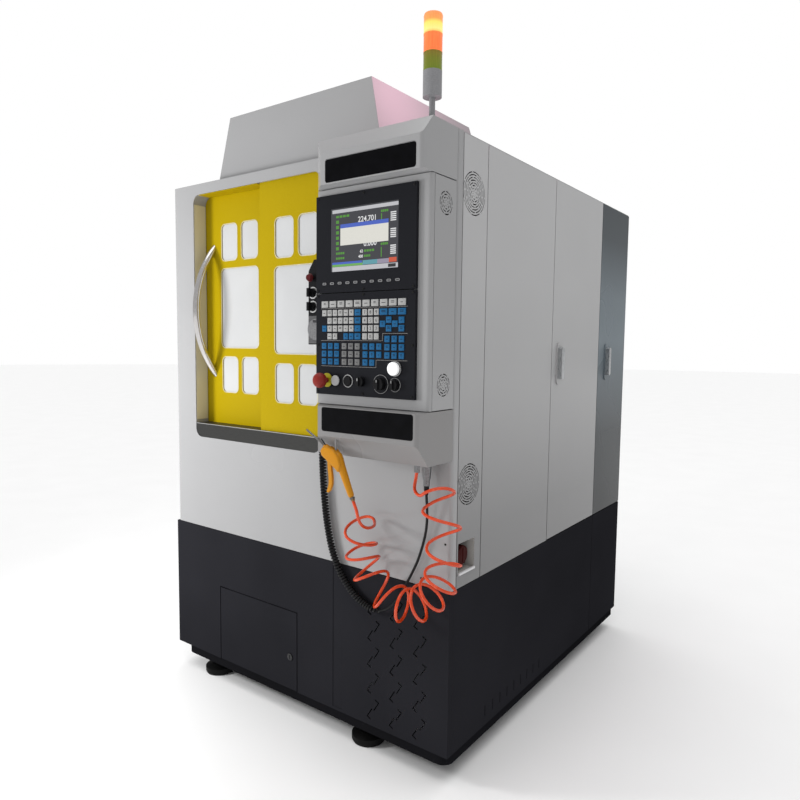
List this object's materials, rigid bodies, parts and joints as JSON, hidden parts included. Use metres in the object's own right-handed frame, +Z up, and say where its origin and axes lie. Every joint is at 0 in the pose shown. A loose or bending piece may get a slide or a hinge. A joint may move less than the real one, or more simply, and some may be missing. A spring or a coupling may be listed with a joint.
{
  "type": "five-axis engraving machine",
  "caption": "Enclosed five-axis CNC engraving machine with a sliding door, operator console, signal tower, hand pendant, air gun, and tilting rotary table under a vertical spindle.",
  "frame": {"origin": "middle of the footprint of the machine and its fixed fittings, on the floor", "axes": "+Z up, -Y towards the operator at the sliding door, +X to the operator's right"},
  "size_m": [1.355, 1.625, 2.147],
  "materials": {
    "white_coat": "semi-gloss powder coat with a fine orange peel",
    "dark_coat": "semi-gloss charcoal powder coat",
    "frame_coat": "satin charcoal paint",
    "yellow_coat": "semi-gloss yellow powder coat",
    "head_coat": "semi-gloss light grey paint",
    "stainless": "dull brushed stainless",
    "polished_steel": "polished",
    "lock_metal": "satin nickel",
    "machined_steel": "ground and machined",
    "wheel_metal": "satin anodised",
    "cast_grey": "painted casting with ground ways",
    "frosted_pane": "glossy frosted pane",
    "panel_dark": "fine-grained dark panel",
    "screen_glass": "glossy display glass",
    "button_red": "glossy moulded plastic",
    "switch_red": "glossy moulded plastic",
    "button_grey": "satin moulded plastic",
    "button_white": "translucent moulded plastic",
    "knob_black": "matt moulded plastic",
    "tower_grey": "satin moulded plastic",
    "lens_green": "glossy ribbed lens",
    "lens_amber": "glossy ribbed lens",
    "lens_red": "glossy ribbed lens, lit",
    "pendant_black": "fine-grained moulded plastic",
    "gun_orange": "semi-gloss moulded nylon",
    "hose_red": "glossy polyurethane",
    "cable_rubber": "satin cable sheath",
    "foot_rubber": "matt moulded rubber"
  },
  "bodies": {
    "machine": {"levelling_feet": "foot_rubber", "cabinet_frame": "frame_coat", "base_front": "dark_coat", "base_skirt": "dark_coat", "front_panel": "white_coat", "sill_plate": "stainless", "roof_hood": "white_coat", "post_panel": "white_coat", "middle_panel": "white_coat", "left_panel": "white_coat", "back_panel": "dark_coat", "console_body": "white_coat", "console_header": "white_coat", "console_lower": "white_coat", "console_side_panel": "white_coat", "display_unit": "panel_dark", "screen_glass": "screen_glass", "keyboard_panel": "panel_dark", "tower_stand": "tower_grey", "tower_green": "lens_green", "tower_amber": "lens_amber", "tower_red": "lens_red", "pendant_body": "pendant_black", "air_gun_body": "gun_orange", "cable_glands": "lock_metal", "air_hose": "hose_red", "pendant_cable": "cable_rubber", "machine_bed": "cast_grey", "column": "cast_grey"},
    "left_leaf": {"door_leaf_left": "yellow_coat", "left_panes": "frosted_pane", "door_handle": "polished_steel"},
    "right_leaf": {"door_leaf_right": "yellow_coat", "right_panes": "frosted_pane"},
    "service_door": {"service_door": "white_coat"},
    "service_lever": {"service_lever": "lock_metal"},
    "rear_door": {"rear_door": "dark_coat"},
    "rear_lever": {"rear_lever": "lock_metal"},
    "access_door": {"access_door": "dark_coat"},
    "access_cam": {"access_cam": "lock_metal"},
    "main_switch": {"main_switch": "switch_red"},
    "estop_button": {"estop_button": "button_red"},
    "start_button": {"start_button": "button_grey"},
    "hold_button": {"hold_button": "knob_black"},
    "mode_switch": {"mode_switch": "knob_black"},
    "feed_knob": {"feed_knob": "knob_black"},
    "spindle_knob": {"spindle_knob": "knob_black"},
    "lamp_button": {"lamp_button": "button_white"},
    "pendant_stop": {"pendant_stop": "button_red"},
    "axis_selector": {"axis_selector": "knob_black"},
    "rate_selector": {"rate_selector": "knob_black"},
    "pendant_wheel": {"pendant_wheel": "wheel_metal"},
    "air_gun_trigger": {"air_gun_trigger": "gun_orange"},
    "y_saddle": {"y_saddle": "machined_steel"},
    "tilt_cradle": {"tilt_cradle": "machined_steel"},
    "rotary_table": {"rotary_table": "machined_steel"},
    "x_carriage": {"x_carriage": "machined_steel"},
    "z_head": {"z_head": "head_coat"},
    "spindle": {"spindle": "polished_steel"}
  },
  "joints": [
    {"name": "left_leaf_slide", "type": "slide", "parent": "machine", "child": "left_leaf", "axis": [1, 0, 0], "range_m": [0, 0.54]},
    {"name": "right_leaf_slide", "type": "slide", "parent": "machine", "child": "right_leaf", "axis": [1, 0, 0], "range_m": [0, 0.27]},
    {"name": "service_door_hinge", "type": "hinge", "parent": "machine", "child": "service_door", "pos_m": [0.62135, 0.4775, 1.23], "axis": [0, 0, 1], "range_deg": [0, 90]},
    {"name": "service_lever_turn", "type": "hinge", "parent": "service_door", "child": "service_lever", "pos_m": [0.63735, 0.0775, 1.28], "axis": [1, 0, 0], "range_deg": [0, 90]},
    {"name": "rear_door_hinge", "type": "hinge", "parent": "machine", "child": "rear_door", "pos_m": [0.62135, 0.8045, 1.23], "axis": [0, 0, 1], "range_deg": [0, 90]},
    {"name": "rear_lever_turn", "type": "hinge", "parent": "rear_door", "child": "rear_lever", "pos_m": [0.63735, 0.5725, 1.28], "axis": [1, 0, 0], "range_deg": [0, 90]},
    {"name": "access_door_hinge", "type": "hinge", "parent": "machine", "child": "access_door", "pos_m": [-0.37965, -0.6245, 0.23], "axis": [0, 0, -1], "range_deg": [0, 90]},
    {"name": "access_cam_turn", "type": "hinge", "parent": "access_door", "child": "access_cam", "pos_m": [-0.01565, -0.6325, 0.21], "axis": [0, -1, 0], "range_deg": [0, 90]},
    {"name": "main_switch_turn", "type": "hinge", "parent": "machine", "child": "main_switch", "pos_m": [0.58935, -0.5465, 0.676], "axis": [-1, 0, 0], "range_deg": [0, 90]},
    {"name": "estop_press", "type": "slide", "parent": "machine", "child": "estop_button", "axis": [0, 1, 0], "range_m": [0, 0.006], "stiffness_N_per_m": 3000},
    {"name": "start_press", "type": "slide", "parent": "machine", "child": "start_button", "axis": [0, 1, 0], "range_m": [0, 0.003], "stiffness_N_per_m": 1500},
    {"name": "hold_press", "type": "slide", "parent": "machine", "child": "hold_button", "axis": [0, 1, 0], "range_m": [0, 0.003], "stiffness_N_per_m": 1500},
    {"name": "lamp_press", "type": "slide", "parent": "machine", "child": "lamp_button", "axis": [0, 1, 0], "range_m": [0, 0.003], "stiffness_N_per_m": 1500},
    {"name": "mode_turn", "type": "hinge", "parent": "machine", "child": "mode_switch", "pos_m": [0.40535, -0.7625, 1.187], "axis": [0, -1, 0], "range_deg": [-45, 45]},
    {"name": "feed_turn", "type": "hinge", "parent": "machine", "child": "feed_knob", "pos_m": [0.47535, -0.7625, 1.183], "axis": [0, 1, 0], "range_deg": [0, 300]},
    {"name": "spindle_override_turn", "type": "hinge", "parent": "machine", "child": "spindle_knob", "pos_m": [0.52435, -0.7625, 1.183], "axis": [0, 1, 0], "range_deg": [0, 300]},
    {"name": "pendant_stop_press", "type": "slide", "parent": "machine", "child": "pendant_stop", "axis": [0, 1, 0], "range_m": [0, 0.004], "stiffness_N_per_m": 2000},
    {"name": "axis_select_turn", "type": "hinge", "parent": "machine", "child": "axis_selector", "pos_m": [0.16935, -0.712, 1.447], "axis": [0, 1, 0], "range_deg": [-90, 90]},
    {"name": "rate_select_turn", "type": "hinge", "parent": "machine", "child": "rate_selector", "pos_m": [0.16935, -0.712, 1.405], "axis": [0, 1, 0], "range_deg": [-60, 60]},
    {"name": "pendant_wheel_spin", "type": "hinge", "parent": "machine", "child": "pendant_wheel", "pos_m": [0.18535, -0.712, 1.336], "axis": [0, 1, 0], "continuous": true},
    {"name": "trigger_squeeze", "type": "hinge", "parent": "machine", "child": "air_gun_trigger", "pos_m": [0.32935, -0.7995, 0.97], "axis": [0, -1, 0], "range_deg": [0, 12], "stiffness_Nm_per_rad": 2},
    {"name": "y_axis", "type": "slide", "parent": "machine", "child": "y_saddle", "axis": [0, 1, 0], "range_m": [-0.1, 0.1]},
    {"name": "a_axis", "type": "hinge", "parent": "y_saddle", "child": "tilt_cradle", "pos_m": [-0.07065, -0.1125, 1.03], "axis": [1, 0, 0], "range_deg": [-30, 100]},
    {"name": "c_axis", "type": "hinge", "parent": "tilt_cradle", "child": "rotary_table", "pos_m": [-0.07065, -0.1125, 0.98], "axis": [0, 0, 1], "continuous": true},
    {"name": "x_axis", "type": "slide", "parent": "machine", "child": "x_carriage", "axis": [1, 0, 0], "range_m": [-0.18, 0.18]},
    {"name": "z_axis", "type": "slide", "parent": "x_carriage", "child": "z_head", "axis": [0, 0, 1], "range_m": [-0.12, 0.08]},
    {"name": "spindle_spin", "type": "hinge", "parent": "z_head", "child": "spindle", "pos_m": [-0.07065, -0.1125, 1.35], "axis": [0, 0, 1], "continuous": true}
  ],
  "couplings": [
    {"joint": "right_leaf_slide", "follows": "left_leaf_slide", "ratio": 0.5}
  ]
}
